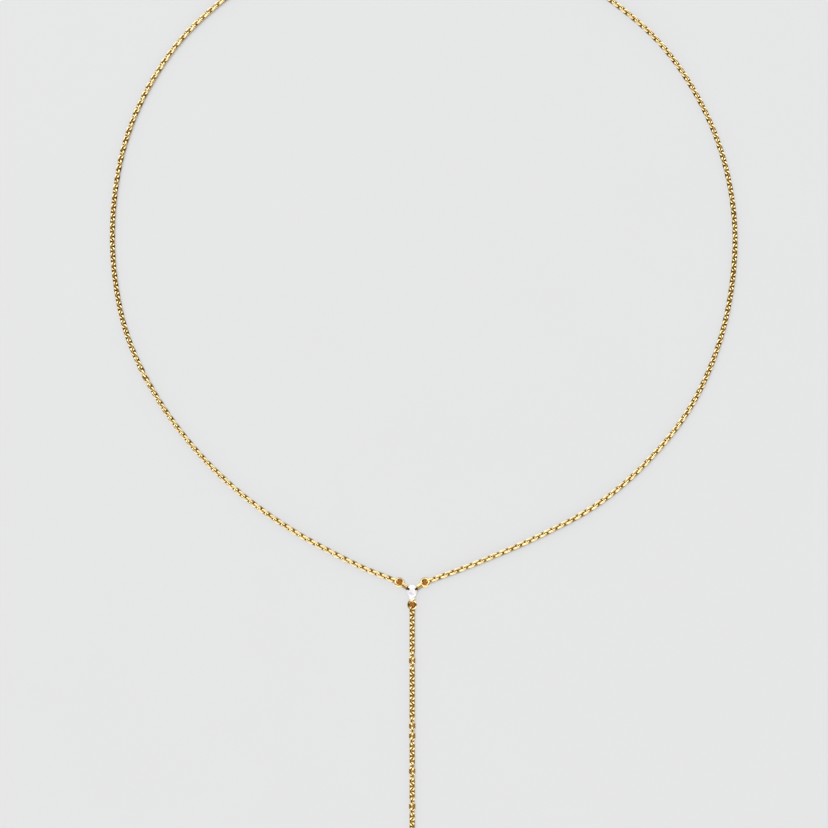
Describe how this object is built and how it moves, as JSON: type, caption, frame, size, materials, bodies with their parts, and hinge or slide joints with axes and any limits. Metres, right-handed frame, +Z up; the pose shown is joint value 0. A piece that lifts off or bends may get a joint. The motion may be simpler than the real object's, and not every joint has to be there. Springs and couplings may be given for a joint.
{
  "type": "y necklace",
  "caption": "Fine gold cable-chain Y necklace lying flat: closed neck loop, pear-cut clear stone in a claw setting at the fork, straight drop chain.",
  "frame": {"origin": "middle of the necklace's box in plan, on the surface that it lies on", "axes": "+Y from the end of the drop to the clasp at the back of the neck, +Z up from the surface, +X to the right as seen from above"},
  "size_m": [0.1288, 0.1878, 0.0018],
  "materials": {
    "gold": "polished yellow gold",
    "stone": "clear, faceted and polished"
  },
  "bodies": {
    "root": {"stone": "stone", "setting": "gold", "jump_ring_left": "gold", "jump_ring_right": "gold", "jump_ring_drop": "gold", "end_link_left": "gold", "end_link_right": "gold", "chain_left": "gold", "chain_right": "gold", "drop_chain": "gold", "clasp": "gold", "clasp_link_left": "gold", "clasp_link_right": "gold"}
  },
  "joints": []
}
